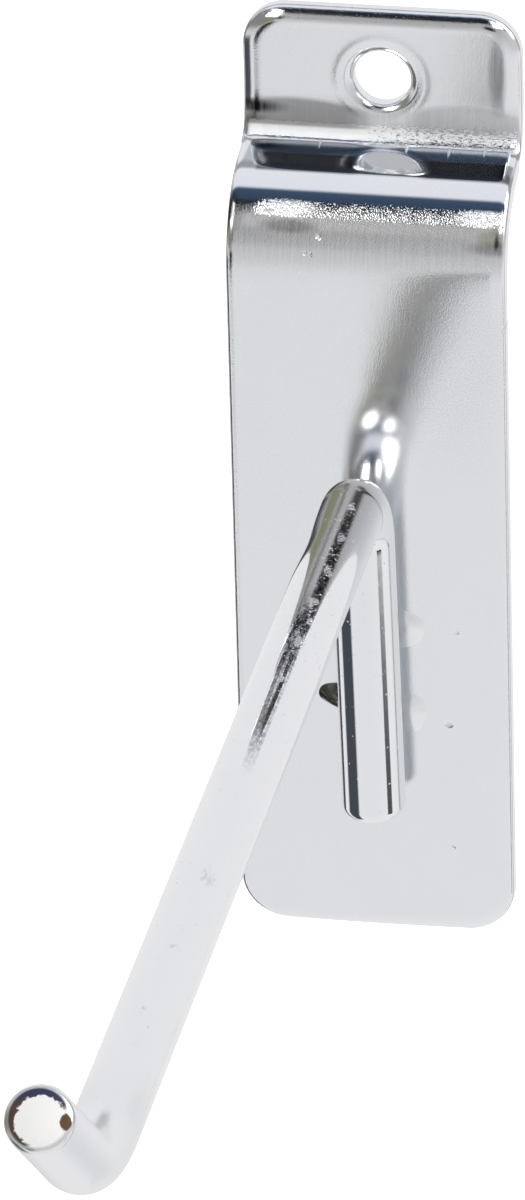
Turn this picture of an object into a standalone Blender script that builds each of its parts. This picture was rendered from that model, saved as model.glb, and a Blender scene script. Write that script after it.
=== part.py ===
# Slatwall hook: a folded steel back plate with a round wire arm welded to its front.
# Metres, +Z up. The back of the plate is the plane Y = 0 and faces +Y, to the wall.
# The arm points to -Y, and its axis meets the plate's back at the origin.

import math

import bmesh
import bpy
from mathutils import Matrix, Vector

# Back plate: one strip of sheet, folded twice
plate_width = 0.0262
plate_thickness = 0.0020
panel_height = 0.0685          # flat panel, from the bottom edge to the first fold
arm_height = 0.0476            # arm axis above the bottom edge
flange_offset = 0.0100         # flange set back from the panel
shelf_rise = math.radians(15)  # the shelf between the folds climbs towards the wall
lower_fold_radius = 0.0064     # inside radius of the fold at the top of the panel
upper_fold_radius = 0.0018     # inside radius of the fold under the flange
flange_height = 0.0113         # straight flange above the upper fold
foot_corner_radius = 0.0044
flange_corner_radius = 0.0040
foot_crown = 0.0002            # the cut bottom edge bows down by this much
plate_edge_round = 0.0003      # tumbled and plated edges are soft

# Screw hole, punched through the flange
hole_diameter = 0.0056
hole_below_top = 0.0068

# Wire: one round bar with two bends
wire_diameter = 0.0060
reach = 0.1500                 # from the plate's back to the furthest point of the tip
leg_length = 0.0342            # from the arm axis down to the leg's end
leg_shift = -0.0002            # the leg sits this far off the plate's middle
leg_lean = math.radians(1.13)  # the leg's foot leans to +X
arm_yaw = math.radians(0.32)   # the arm swings a little to -X
arm_bend_radius = 0.0050       # centre line of the bend between leg and arm
tip_bend_radius = 0.0180       # centre line of the bend before the tip
tip_rise = math.radians(41.3)  # the tip climbs from the arm by this much
tip_length = 0.0223            # from the corner of arm and tip to the end
leg_end_round = 0.0012
tip_end_round = 0.0007

# Welds: beads squeezed out on both sides of the leg
upper_weld_drop = 0.0142       # below the arm axis
lower_weld_drop = 0.0234
weld_reach = 0.0053            # from the leg's axis to the bead's outer edge
weld_half_height = 0.0014
weld_thickness = 0.0013
weld_root = 0.0019             # nearest the bead comes to the leg's axis

seat_clearance = 0.0003        # kept between plate, wire and beads

# Facets
corner_facets = 6
hole_facets = 36
edge_facets = 2
fold_facets = 10
wire_facets = 36
bend_facets = 12
bead_facets = 24

plate_colour = (0.78, 0.79, 0.81, 1.0)
wire_colour = (0.80, 0.80, 0.82, 1.0)
weld_colour = (0.55, 0.55, 0.57, 1.0)


def clear_scene():
    for thing in list(bpy.data.objects):
        bpy.data.objects.remove(thing, do_unlink=True)


def make_material(name, colour, roughness):
    material = bpy.data.materials.new(name)
    material.use_nodes = True
    shader = material.node_tree.nodes["Principled BSDF"]
    shader.inputs["Base Color"].default_value = colour
    shader.inputs["Metallic"].default_value = 1.0
    shader.inputs["Roughness"].default_value = roughness
    return material


def finish_object(name, bm, material, sharp_angle=30):
    mesh = bpy.data.meshes.new(name)
    bmesh.ops.recalc_face_normals(bm, faces=bm.faces)
    bm.to_mesh(mesh)
    bm.free()
    mesh.shade_smooth()
    mesh.set_sharp_from_angle(angle=math.radians(sharp_angle))
    mesh.materials.append(material)
    thing = bpy.data.objects.new(name, mesh)
    bpy.context.scene.collection.objects.link(thing)
    return thing


# Back plate

def fold_angle():
    return math.pi / 2 - shelf_rise


def lower_fold_middle():
    return lower_fold_radius + plate_thickness / 2


def upper_fold_middle():
    return upper_fold_radius + plate_thickness / 2


def shelf_length():
    # what the two folds leave of the offset, measured along the shelf
    taken = (lower_fold_middle() + upper_fold_middle()) * (1 - math.cos(fold_angle()))
    return (flange_offset - taken) / math.cos(shelf_rise)


def fold_stations():
    # lengths along the flat strip at which each stretch starts
    lower_start = panel_height
    shelf_start = lower_start + lower_fold_middle() * fold_angle()
    upper_start = shelf_start + shelf_length()
    flange_start = upper_start + upper_fold_middle() * fold_angle()
    return lower_start, shelf_start, upper_start, flange_start


def blank_length():
    return fold_stations()[3] + flange_height


def blank_outline(inset):
    # the flat strip's outline, drawn in by inset: a crowned foot edge and four round corners
    half = plate_width / 2
    top = blank_length()
    points = []
    corners = (
        (half, foot_corner_radius, foot_corner_radius, -90),
        (half, top - flange_corner_radius, flange_corner_radius, 0),
        (-half, top - flange_corner_radius, flange_corner_radius, 90),
        (-half, foot_corner_radius, foot_corner_radius, 180),
    )
    for side, height, radius, start in corners:
        middle = side - math.copysign(radius, side)
        for step in range(corner_facets + 1):
            angle = math.radians(start + 90 * step / corner_facets)
            across = middle + (radius - inset) * math.cos(angle)
            points.append((across, height + (radius - inset) * math.sin(angle)))
    for step in range(1, corner_facets):
        # the foot edge, from its left corner back to the right one
        across = (half - foot_corner_radius) * (2 * step / corner_facets - 1)
        bow = foot_crown * (1 - (across / (half - foot_corner_radius)) ** 2)
        points.append((across, inset - bow))
    return points


def hole_outline(inset):
    height = blank_length() - hole_below_top
    radius = hole_diameter / 2 + inset
    turns = [2 * math.pi * step / hole_facets for step in range(hole_facets)]
    return [(radius * math.cos(turn), height + radius * math.sin(turn)) for turn in turns]


def edge_levels():
    # depth through the sheet and inset of the outline, round the softened edges
    levels = []
    for side in (-1, 1):
        for step in range(edge_facets + 1):
            turn = math.pi / 2 * step / edge_facets
            turn = math.pi / 2 - turn if side < 0 else turn
            depth = plate_thickness / 2 - plate_edge_round * (1 - math.sin(turn))
            levels.append((side * depth, plate_edge_round * (1 - math.cos(turn))))
    return levels


def add_wall(bm, outline):
    # a wall round an outline, one ring of vertices for each level
    rings = []
    for depth, inset in edge_levels():
        rings.append([bm.verts.new((x, s, depth)) for x, s in outline(inset)])
    for lower, upper in zip(rings, rings[1:]):
        for i in range(len(lower)):
            j = (i + 1) % len(lower)
            bm.faces.new((lower[i], lower[j], upper[j], upper[i]))
    return rings[0], rings[-1]


def ring_edges(bm, ring):
    return [bm.edges.get((ring[i - 1], ring[i])) for i in range(len(ring))]


def flat_blank():
    # the strip as it is cut and punched, before folding: x across, y along, z through
    bm = bmesh.new()
    outer = add_wall(bm, blank_outline)
    hole = add_wall(bm, hole_outline)
    for rim, hole_rim in zip(outer, hole):
        edges = ring_edges(bm, rim) + ring_edges(bm, hole_rim)
        bmesh.ops.triangle_fill(bm, edges=edges, use_beauty=True, use_dissolve=False)
    return bm


def score_blank(bm):
    # rows of edges across the strip, so that it can fold
    lower_start, shelf_start, upper_start, flange_start = fold_stations()
    rows = []
    for start, end in ((lower_start, shelf_start), (upper_start, flange_start)):
        for step in range(fold_facets + 1):
            rows.append(start + (end - start) * step / fold_facets)
    for row in rows:
        geometry = list(bm.verts) + list(bm.edges) + list(bm.faces)
        bmesh.ops.bisect_plane(bm, geom=geometry, dist=1e-7, plane_co=(0, row, 0),
                               plane_no=(0, 1, 0))


def folded(x, s, depth):
    # where a point of the flat strip goes; depth is positive on the front
    lower_start, shelf_start, upper_start, flange_start = fold_stations()
    bend = fold_angle()
    middle = -plate_thickness / 2
    lower = lower_fold_middle()
    upper = upper_fold_middle()
    if s <= lower_start:
        return Vector((x, middle - depth, s - arm_height))
    turn = min((s - lower_start) / lower, bend)
    centre = Vector((x, middle + lower, lower_start - arm_height))
    outward = Vector((0, -math.cos(turn), math.sin(turn)))
    if s <= shelf_start:
        return centre + outward * (lower + depth)
    along = Vector((0, math.cos(shelf_rise), math.sin(shelf_rise)))
    if s <= upper_start:
        return centre + outward * (lower + depth) + along * (s - shelf_start)
    shelf_end = centre + outward * lower + along * shelf_length()
    upper_centre = shelf_end + outward * upper
    turn = min((s - upper_start) / upper, bend) - bend
    outward = Vector((0, math.cos(turn), math.sin(turn)))
    rise = max(s - flange_start, 0)
    return upper_centre + outward * (upper - depth) + Vector((0, 0, rise))


def make_back_plate():
    bm = flat_blank()
    score_blank(bm)
    for vert in bm.verts:
        vert.co = folded(*vert.co)
    return finish_object("back_plate", bm, make_material("plated_sheet", plate_colour, 0.10))


# Wire

def wire_axis_depth():
    return plate_thickness + seat_clearance + wire_diameter / 2


def leg_direction():
    return Vector((math.sin(leg_lean), 0, -math.cos(leg_lean)))


def wire_corners():
    # leg end, corner of leg and arm, corner of arm and tip, tip end
    arm = Vector((-math.sin(arm_yaw), -math.cos(arm_yaw), 0))
    up = -leg_direction()
    up = (up - arm * up.dot(arm)).normalized()
    tip = arm * math.cos(tip_rise) + up * math.sin(tip_rise)
    first = Vector((leg_shift, -wire_axis_depth(), 0))
    leg_end = first + leg_direction() * leg_length
    rim = wire_diameter / 2 - tip_end_round
    end_depth = rim * math.sin(tip_rise) + tip_end_round * (1 - math.cos(tip_rise))
    end_depth += tip_length * math.cos(tip_rise)
    arm_length = (reach - wire_axis_depth() - end_depth) / math.cos(arm_yaw)
    second = first + arm * arm_length
    return leg_end, first, second, second + tip * tip_length


def round_corner(before, corner, after, radius):
    # points and directions on the arc that rounds a corner of the centre line
    back = (before - corner).normalized()
    ahead = (after - corner).normalized()
    half_angle = back.angle(ahead) / 2
    reach_back = radius / math.tan(half_angle)
    centre = corner + (back + ahead).normalized() * radius / math.sin(half_angle)
    start = corner + back * reach_back
    turn_axis = back.cross(ahead).normalized()
    sweep = math.pi - 2 * half_angle
    stations = []
    for step in range(bend_facets + 1):
        turn = Matrix.Rotation(-sweep * step / bend_facets, 3, turn_axis)
        stations.append((centre + turn @ (start - centre), turn @ -back))
    return stations


def rounded_end(end, outward, radius_cut):
    # rings from the full section to the flat end: place along outward, and radius
    rings = []
    for step in range(edge_facets * 2 + 1):
        turn = math.pi / 2 * step / (edge_facets * 2)
        place = end - outward * radius_cut * (1 - math.sin(turn))
        rings.append((place, wire_diameter / 2 - radius_cut * (1 - math.cos(turn))))
    return rings


def make_hook_rod():
    leg_end, first, second, tip_end = wire_corners()
    leg_way = (leg_end - first).normalized()
    tip_way = (tip_end - second).normalized()
    sections = []
    for place, radius in reversed(rounded_end(leg_end, leg_way, leg_end_round)):
        sections.append((place, -leg_way, radius))
    for place, way in round_corner(leg_end, first, second, arm_bend_radius):
        sections.append((place, way, wire_diameter / 2))
    for place, way in round_corner(first, second, tip_end, tip_bend_radius):
        sections.append((place, way, wire_diameter / 2))
    for place, radius in rounded_end(tip_end, tip_way, tip_end_round):
        sections.append((place, tip_way, radius))
    side = (first - leg_end).cross(second - first).normalized()
    bm = bmesh.new()
    rings = []
    for place, way, radius in sections:
        up = way.cross(side)
        ring = []
        for step in range(wire_facets):
            turn = 2 * math.pi * step / wire_facets
            offset = side * math.cos(turn) + up * math.sin(turn)
            ring.append(bm.verts.new(place + offset * radius))
        rings.append(ring)
    for near, far in zip(rings, rings[1:]):
        for i in range(wire_facets):
            j = (i + 1) % wire_facets
            bm.faces.new((near[i], near[j], far[j], far[i]))
    bm.faces.new(rings[0])
    bm.faces.new(rings[-1])
    return finish_object("hook_rod", bm, make_material("plated_wire", wire_colour, 0.08))


# Welds

def cut_with(target, name, build):
    # a hidden cutter, taken out of the target by an exact Boolean
    bm = bmesh.new()
    build(bm)
    mesh = bpy.data.meshes.new(name)
    bm.to_mesh(mesh)
    bm.free()
    cutter = bpy.data.objects.new(name, mesh)
    cutter.hide_render = True
    cutter.display_type = "WIRE"
    bpy.context.scene.collection.objects.link(cutter)
    cut = target.modifiers.new(name, "BOOLEAN")
    cut.operation = "DIFFERENCE"
    cut.solver = "EXACT"
    cut.object = cutter


def make_weld_bead(name, drop, side, material):
    # a lens of squeezed metal in the corner between leg and plate, on one side of the leg
    centre = Vector((leg_shift, -plate_thickness - seat_clearance, 0)) + leg_direction() * drop
    root = side * weld_root
    size = Vector((weld_reach, weld_thickness, weld_half_height))
    bm = bmesh.new()
    bmesh.ops.create_uvsphere(bm, u_segments=bead_facets, v_segments=bead_facets // 2,
                              radius=1, matrix=Matrix.Rotation(math.pi / 2, 4, "Y"))
    bmesh.ops.scale(bm, vec=size, verts=bm.verts)
    bmesh.ops.translate(bm, vec=centre, verts=bm.verts)
    # keep what stands in front of the plate and outside the root
    for point, normal in ((centre, Vector((0, 1, 0))),
                          (centre + Vector((root, 0, 0)), Vector((-side, 0, 0)))):
        geometry = list(bm.verts) + list(bm.edges) + list(bm.faces)
        cut = bmesh.ops.bisect_plane(bm, geom=geometry, dist=1e-7, plane_co=point,
                                     plane_no=normal, clear_outer=True)
        edges = [part for part in cut["geom_cut"] if isinstance(part, bmesh.types.BMEdge)]
        bmesh.ops.contextual_create(bm, geom=edges)
    bead = finish_object(name, bm, material)

    def leg_room(cutter):
        turn = Matrix.Rotation(-leg_lean, 4, "Y")
        middle = Vector((leg_shift, -wire_axis_depth(), 0)) + leg_direction() * drop
        bmesh.ops.create_cone(cutter, cap_ends=True, segments=wire_facets * 2,
                              radius1=wire_diameter / 2 + seat_clearance,
                              radius2=wire_diameter / 2 + seat_clearance,
                              depth=weld_half_height * 4,
                              matrix=Matrix.Translation(middle) @ turn)

    cut_with(bead, name + "_leg_room", leg_room)
    return bead


def make_welds():
    material = make_material("weld_bead", weld_colour, 0.30)
    for level, drop in (("upper", upper_weld_drop), ("lower", lower_weld_drop)):
        for hand, side in (("left", -1), ("right", 1)):
            make_weld_bead(f"{level}_weld_{hand}", drop, side, material)


clear_scene()
make_back_plate()
make_hook_rod()
make_welds()
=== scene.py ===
import math

import bpy
import numpy as np
from mathutils import Matrix, Vector


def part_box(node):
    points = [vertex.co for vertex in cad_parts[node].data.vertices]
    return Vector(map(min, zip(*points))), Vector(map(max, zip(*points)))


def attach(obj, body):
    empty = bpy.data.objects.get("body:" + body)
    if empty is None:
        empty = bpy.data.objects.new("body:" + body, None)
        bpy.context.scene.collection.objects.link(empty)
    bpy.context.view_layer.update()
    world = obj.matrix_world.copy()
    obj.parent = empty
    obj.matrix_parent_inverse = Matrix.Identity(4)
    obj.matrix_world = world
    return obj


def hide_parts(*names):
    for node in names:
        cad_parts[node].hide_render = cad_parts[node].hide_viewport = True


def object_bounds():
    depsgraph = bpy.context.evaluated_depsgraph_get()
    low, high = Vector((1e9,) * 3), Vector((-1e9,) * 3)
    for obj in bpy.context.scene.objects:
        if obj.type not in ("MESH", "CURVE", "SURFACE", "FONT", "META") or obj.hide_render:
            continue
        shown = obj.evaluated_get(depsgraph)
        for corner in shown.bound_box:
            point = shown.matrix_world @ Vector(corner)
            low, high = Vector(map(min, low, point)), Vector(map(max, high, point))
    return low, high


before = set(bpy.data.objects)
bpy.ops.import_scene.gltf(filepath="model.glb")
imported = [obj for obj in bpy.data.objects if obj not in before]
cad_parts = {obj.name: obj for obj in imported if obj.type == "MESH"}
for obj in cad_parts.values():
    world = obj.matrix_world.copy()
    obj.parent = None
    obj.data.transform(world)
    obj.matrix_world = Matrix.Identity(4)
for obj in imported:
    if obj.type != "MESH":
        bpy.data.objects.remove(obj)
cadBox = [list(corner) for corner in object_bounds()]

mm = 0.001               # sizes in the dictionaries below are in millimetres, angles in degrees
print("frame loaded:", ", ".join(sorted(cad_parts)))


# Shared mesh helpers

def smoothStep(x, low, high):
    # 3t² - 2t³, where t runs from 0 at low to 1 at high
    t = np.clip((x - low) / (high - low), 0.0, 1.0)
    return t * t * (3.0 - 2.0 * t)


def hump(x, middle, reach):
    # exp(-((x - middle) / reach)²)
    return np.exp(-((x - middle) / reach) ** 2)


def unit(vectors):
    return vectors / np.linalg.norm(vectors, axis=-1, keepdims=True)


def gridQuads(rows, columns, closed=False):
    # quads of a grid of points stored row by row; closed joins the last column to the first
    r = np.arange(rows - 1)[:, None]
    c = np.arange(columns if closed else columns - 1)[None, :]
    right = (c + 1) % columns
    return np.stack([r * columns + c, r * columns + right,
                     (r + 1) * columns + right, (r + 1) * columns + c], axis=-1).reshape(-1, 4)


def bandQuads(table):
    # quads between the rows of a table of point numbers, each row a closed loop
    a, b = table[:-1], table[1:]
    return np.stack([a, np.roll(a, -1, axis=1), np.roll(b, -1, axis=1), b], axis=-1).reshape(-1, 4)


def makePiece(name, points, faceSets, places, placeName):
    # one smooth mesh object from points in millimetres and arrays of face corners;
    # places is each point's own place on the piece, for the materials
    mesh = bpy.data.meshes.new(name)
    corners = np.concatenate([faces.ravel() for faces in faceSets]).astype(np.int32)
    counts = np.concatenate([np.full(len(faces), faces.shape[1]) for faces in faceSets])
    starts = np.concatenate([[0], np.cumsum(counts)[:-1]]).astype(np.int32)
    mesh.vertices.add(len(points))
    mesh.vertices.foreach_set("co", (points * mm).astype(np.float32).ravel())
    mesh.loops.add(len(corners))
    mesh.loops.foreach_set("vertex_index", corners)
    mesh.polygons.add(len(counts))
    mesh.polygons.foreach_set("loop_start", starts)
    mesh.update(calc_edges=True)
    mesh.validate()
    mesh.shade_smooth()
    layer = mesh.attributes.new(placeName, "FLOAT_VECTOR", "POINT")
    layer.data.foreach_set("vector", places.astype(np.float32).ravel())
    piece = bpy.data.objects.new(name, mesh)
    bpy.context.scene.collection.objects.link(piece)
    print(name, "-", len(points), "points")
    return piece


# Shader helpers

def addNode(tree, kind, **settings):
    node = tree.nodes.new(kind)
    for key, value in settings.items():
        setattr(node, key, value)
    return node


def treeOf(*values):
    # the node tree of the first value that is a socket
    return next(value.id_data for value in values if isinstance(value, bpy.types.NodeSocket))


def feed(socket, value):
    # a link where value is another node's output, else a plain setting
    if isinstance(value, bpy.types.NodeSocket):
        treeOf(socket).links.new(value, socket)
    else:
        socket.default_value = value


def mathOf(operation, *values):
    node = addNode(treeOf(*values), "ShaderNodeMath", operation=operation)
    for socket, value in zip(node.inputs, values):
        feed(socket, value)
    return node.outputs[0]


def sumOf(*terms):
    total = terms[0]
    for term in terms[1:]:
        total = mathOf("ADD", total, term)
    return total


def productOf(*terms):
    total = terms[0]
    for term in terms[1:]:
        total = mathOf("MULTIPLY", total, term)
    return total


def restOf(share):
    return mathOf("SUBTRACT", 1.0, share)


def lengthOf(*parts):
    # square root of the sum of the parts' squares
    return mathOf("SQRT", sumOf(*(productOf(part, part) for part in parts)))


def risingEdge(value, place, ease):
    # 0 below place, 1 above it, over twice ease
    node = addNode(treeOf(value), "ShaderNodeMapRange", interpolation_type="SMOOTHSTEP")
    for socket, setting in zip(node.inputs, (value, place - ease, place + ease, 0.0, 1.0)):
        feed(socket, setting)
    return node.outputs[0]


def fallingEdge(value, place, ease):
    return restOf(risingEdge(value, place, ease))


def mixColours(share, first, second):
    node = addNode(treeOf(share, first, second), "ShaderNodeMix", data_type="RGBA")
    feed(node.inputs["Factor"], share)
    for name, tone in (("A", first), ("B", second)):
        feed(node.inputs[name], tone if isinstance(tone, bpy.types.NodeSocket) else (*tone, 1.0))
    return node.outputs["Result"]


# Back plate: one strip, folded back and up again, with a punched hole in its flange

sheet = {
    "thickness": 2.0,
    "panelHeight": 66.0,             # foot to the start of the lower fold
    "lowerFoldRadius": 9.5,          # mean, at the middle of the sheet
    "upperFoldRadius": 5.2,
    "shelfLength": 2.6,
    "shelfRise": 14.5,
    # curvature along each fold: share of its length and relative curvature
    "lowerFoldShape": ((0.0, 0.0), (0.2, 0.12), (0.29, 1.05), (0.6, 0.62), (0.92, 1.25), (1.0, 0.0)),
    "upperFoldShape": ((0.0, 0.0), (0.1, 2.2), (0.5, 0.5), (0.9, 0.25), (1.0, 0.0)),
    "footCorner": 4.4,
    "flangeCorner": 4.0,
    "footCrown": (0.2, 6.0),         # the foot rises this much at its sides, fading out upwards
    "frontInset": 0.3,               # soft corner of a sheared edge, on the front
    "backRound": 0.22,               # and on the back
    # the shears drew the front face in at its edges: depth, reach and power of the falling-off
    "leftRoll": (0.14, 0.75, 2.4),
    "rightRoll": (0.28, 1.35, 2.4),
    "flangeRoll": (0.50, 1.5, 2.0),
    "topRoll": (0.87, 1.30, 1.5),
    "holeRoll": (0.40, 0.80, 1.7),   # and the punch did round the hole
    "flangeRollFrom": (77.0, 85.0),  # along the strip, where the panel's edges pass into the flange's
    "rollBlend": 3.0,                # and one side's roll passes into the next
    "holeAcross": 5.4,
    "holeBelowTop": 6.8,
    "holeRing": (0.03, 4.1, 0.42, 0.4),   # left by the punch's pad: height, radius, reach, share of it behind
    "squeeze": (0.006, 3.0),         # sideways swelling inside a fold, for each degree per mm, and its reach
    # fineness of the mesh and of the sums along the strip
    "columns": 121,
    "columnCrowding": 0.6,           # towards the sides
    "rowSteps": (60, 90, 16),        # panel, folds and shelf, flange below the hole
    "rowMargins": (1.0, 1.5),        # below the fold and below the hole
    "cornerSteps": 13,
    "flangeSteps": (30, 64),         # up its sides and across its top
    "holeRings": (41, 1.7),          # from the flange's outline in to the hole, and their crowding there
    "edgeSteps": (8, 6, 7),          # front arc, wall and back round of a cut edge
    "foldSteps": 401,
    "stations": (12001, 20.0),       # along the strip, and its spare length past the upper fold
}
plateLow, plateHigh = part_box("back_plate")
halfWidth = (plateHigh.x - plateLow.x) / 2 / mm
plateMiddle = (plateHigh.x + plateLow.x) / 2 / mm
halfSheet = sheet["thickness"] / 2
foldTurn = 90.0 - sheet["shelfRise"]
runEnds = np.cumsum([
    sheet["panelHeight"],
    math.radians(foldTurn) * sheet["lowerFoldRadius"],
    sheet["shelfLength"],
    math.radians(foldTurn) * sheet["upperFoldRadius"],
])


def foldShare(s, start, end, shape):
    # share of a fold's turn made by s: the integral of the curvature, which runs straight from pair to pair
    grid = np.linspace(0.0, 1.0, sheet["foldSteps"])
    curve = np.interp(grid, *np.array(shape).T)
    share = np.concatenate([[0.0], np.cumsum(curve[1:] + curve[:-1])])
    return np.interp((s - start) / (end - start), grid, share / share[-1])


def headingAt(s):
    # heading over the ground: straight up the panel, down to the shelf's rise, and up again at the flange
    share = (foldShare(s, runEnds[2], runEnds[3], sheet["upperFoldShape"])
             - foldShare(s, runEnds[0], runEnds[1], sheet["lowerFoldShape"]))
    return np.radians(90.0 + foldTurn * share)


# the strip's middle line, station by station, until it reaches the height of the solid
stations, spareLength = sheet["stations"]
stationS = np.linspace(0.0, runEnds[-1] + spareLength, stations)
stationStep = stationS[1]
stationHeading = headingAt(stationS)
midHeading = headingAt(stationS[:-1] + stationStep / 2)
stationY = plateLow.y / mm + halfSheet + np.concatenate([[0.0], np.cumsum(np.cos(midHeading))]) * stationStep
stationZ = plateLow.z / mm + np.concatenate([[0.0], np.cumsum(np.sin(midHeading))]) * stationStep
stationBend = np.gradient(np.degrees(stationHeading), stationS)
stripLength = float(np.interp(plateHigh.z / mm, stationZ, stationS))
holeAlong = stripLength - sheet["holeBelowTop"]
flangeY = float(np.interp(stripLength, stationS, stationY))
print(f"flange front at {flangeY - halfSheet:.2f}, back at {flangeY + halfSheet:.2f} mm")


def sheetPoints(flat, h):
    # flat place (x across, s along) at height h above the sheet's middle, carried onto the folded strip:
    # the middle line at s plus h times its front normal; the sides swell on the inside of a fold
    x, s = flat[..., 0], flat[..., 1]
    crown, crownReach = sheet["footCrown"]
    s = s + crown * (x / halfWidth) ** 2 * (1.0 - smoothStep(s, 0.0, crownReach))
    heading = np.interp(s, stationS, stationHeading)
    squeeze, squeezeReach = sheet["squeeze"]
    swell = squeeze * np.interp(s, stationS, stationBend) * h / halfSheet
    side = np.sign(x) * smoothStep(np.abs(x), halfWidth - squeezeReach, halfWidth)
    y = np.interp(s, stationS, stationY) - h * np.sin(heading)
    z = np.interp(s, stationS, stationZ) + h * np.cos(heading)
    return np.stack([plateMiddle + x + side * swell, y, z], axis=-1)


def stripRows():
    # stations from foot to flange and the skin's half width at each: a quarter round, then straight
    corner, inset = sheet["footCorner"], sheet["frontInset"]
    turn = np.linspace(0.0, np.pi / 2, sheet["cornerSteps"])
    belowFold, belowHole = sheet["rowMargins"]
    ends = [corner, runEnds[0] - belowFold, runEnds[2], holeAlong - sheet["holeAcross"] / 2 - belowHole]
    spans = zip(ends[:-1], ends[1:], sheet["rowSteps"])
    runs = [np.linspace(start, end, steps)[1:] for start, end, steps in spans]
    s = np.concatenate([corner - (corner - inset) * np.cos(turn), *runs])
    half = np.full(len(s), halfWidth - inset)
    half[:len(turn)] = halfWidth - corner + (corner - inset) * np.sin(turn)
    return s, half


def flangeLoop(s, half):
    # points round the flange from the last row's right end, up, over the top and down to its left end:
    # straight sides joined by quarter rounds
    radius = sheet["flangeCorner"] - sheet["frontInset"]
    top = stripLength - sheet["frontInset"]
    upSteps, acrossSteps = sheet["flangeSteps"]
    turn = np.linspace(0.0, np.pi / 2, sheet["cornerSteps"])[1:]
    up = np.linspace(s, top - radius, upSteps)[1:]
    across = np.linspace(half - radius, radius - half, acrossSteps)[1:]
    x = np.concatenate([np.full(len(up), half), half - radius + radius * np.cos(turn), across,
                        radius - half - radius * np.sin(turn), np.full(len(up) - 1, -half)])
    along = np.concatenate([up, top - radius + radius * np.sin(turn), np.full(len(across), top),
                            top - radius + radius * np.cos(turn), up[-2::-1]])
    return np.stack([x, along], axis=-1)


def flatSkin():
    # flat points of one skin and its quads: a grid up to the flange, then rays from the flange's outline
    # in to the hole's rim; also the point numbers of the outline and of the rim
    s, half = stripRows()
    even = np.linspace(-1.0, 1.0, sheet["columns"])
    crowding = sheet["columnCrowding"]
    u = np.sin(even * np.pi / 2) * crowding + even * (1.0 - crowding)
    grid = np.stack([half[:, None] * u, np.repeat(s[:, None], len(u), axis=1)], axis=-1)
    rows, columns = grid.shape[:2]
    numbers = np.arange(rows * columns).reshape(rows, columns)
    upper = flangeLoop(s[-1], half[-1])
    upperNumbers = rows * columns + np.arange(len(upper))
    loop = np.concatenate([grid[-1], upper])
    hole = np.array([0.0, holeAlong])
    rim = hole + (sheet["holeAcross"] / 2 + sheet["frontInset"]) * unit(loop - hole)
    rings, power = sheet["holeRings"]
    share = 1.0 - (1.0 - np.linspace(0.0, 1.0, rings)[1:, None, None]) ** power
    rays = loop * (1.0 - share) + rim * share
    rayNumbers = rows * columns + len(upper) + np.arange(rays[..., 0].size).reshape(rays.shape[:2])
    table = np.concatenate([np.concatenate([numbers[-1], upperNumbers])[None], rayNumbers])
    flat = np.concatenate([grid.reshape(-1, 2), upper, rays.reshape(-1, 2)])
    quads = np.concatenate([gridQuads(rows, columns), bandQuads(table)])
    outline = np.concatenate([numbers[0], numbers[1:, -1], upperNumbers, numbers[:0:-1, 0]])
    return flat, quads, outline, table[-1]


def edgeDistance(flat):
    # how far a flat place lies inside the strip's outline, a rectangle with quarter rounds at its corners
    side = halfWidth - np.abs(flat[..., 0])
    end = np.minimum(flat[..., 1], stripLength - flat[..., 1])
    corner = np.where(flat[..., 1] > stripLength / 2, sheet["flangeCorner"], sheet["footCorner"])
    inCorner = (side < corner) & (end < corner)
    return np.where(inCorner, corner - np.hypot(corner - side, corner - end), np.minimum(side, end))


def rollAt(flat):
    # depth, reach and power of the drawn-in edge nearest to a flat place: panel's left, its right, flange, top
    blend = sheet["rollBlend"]
    toRight = smoothStep(flat[..., 0], blend - halfWidth, halfWidth - blend)[..., None]
    fromTop = stripLength - flat[..., 1]
    onFlange = smoothStep(flat[..., 1], *sheet["flangeRollFrom"])[..., None]
    onTop = smoothStep(halfWidth - np.abs(flat[..., 0]) - fromTop, -blend, blend)[..., None] * onFlange
    names = ("leftRoll", "rightRoll", "flangeRoll", "topRoll")
    left, right, flange, top = (np.array(sheet[name]) for name in names)
    sides = left * (1 - toRight) + right * toRight
    sides = sides * (1 - onFlange) + flange * onFlange
    return np.moveaxis(sides * (1 - onTop) + top * onTop, -1, 0)


def rollDepth(away, roll):
    # depth · (1 - away / reach) to the power, and nothing past the reach
    depth, reach, power = roll
    return depth * np.clip(1.0 - away / reach, 0.0, 1.0) ** power


def faceHeight(flat, side):
    # height of a skin over the sheet's middle; on the front the face is drawn in at the edges and at the hole
    fromHole = np.hypot(flat[..., 0], flat[..., 1] - holeAlong)
    ridge, ringRadius, ringReach, backShare = sheet["holeRing"]
    height = halfSheet + ridge * hump(fromHole, ringRadius, ringReach) * (1.0 if side > 0 else backShare)
    if side > 0:
        height = height - rollDepth(edgeDistance(flat), rollAt(flat))
        height = height - rollDepth(fromHole - sheet["holeAcross"] / 2, sheet["holeRoll"])
    return side * height


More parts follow.
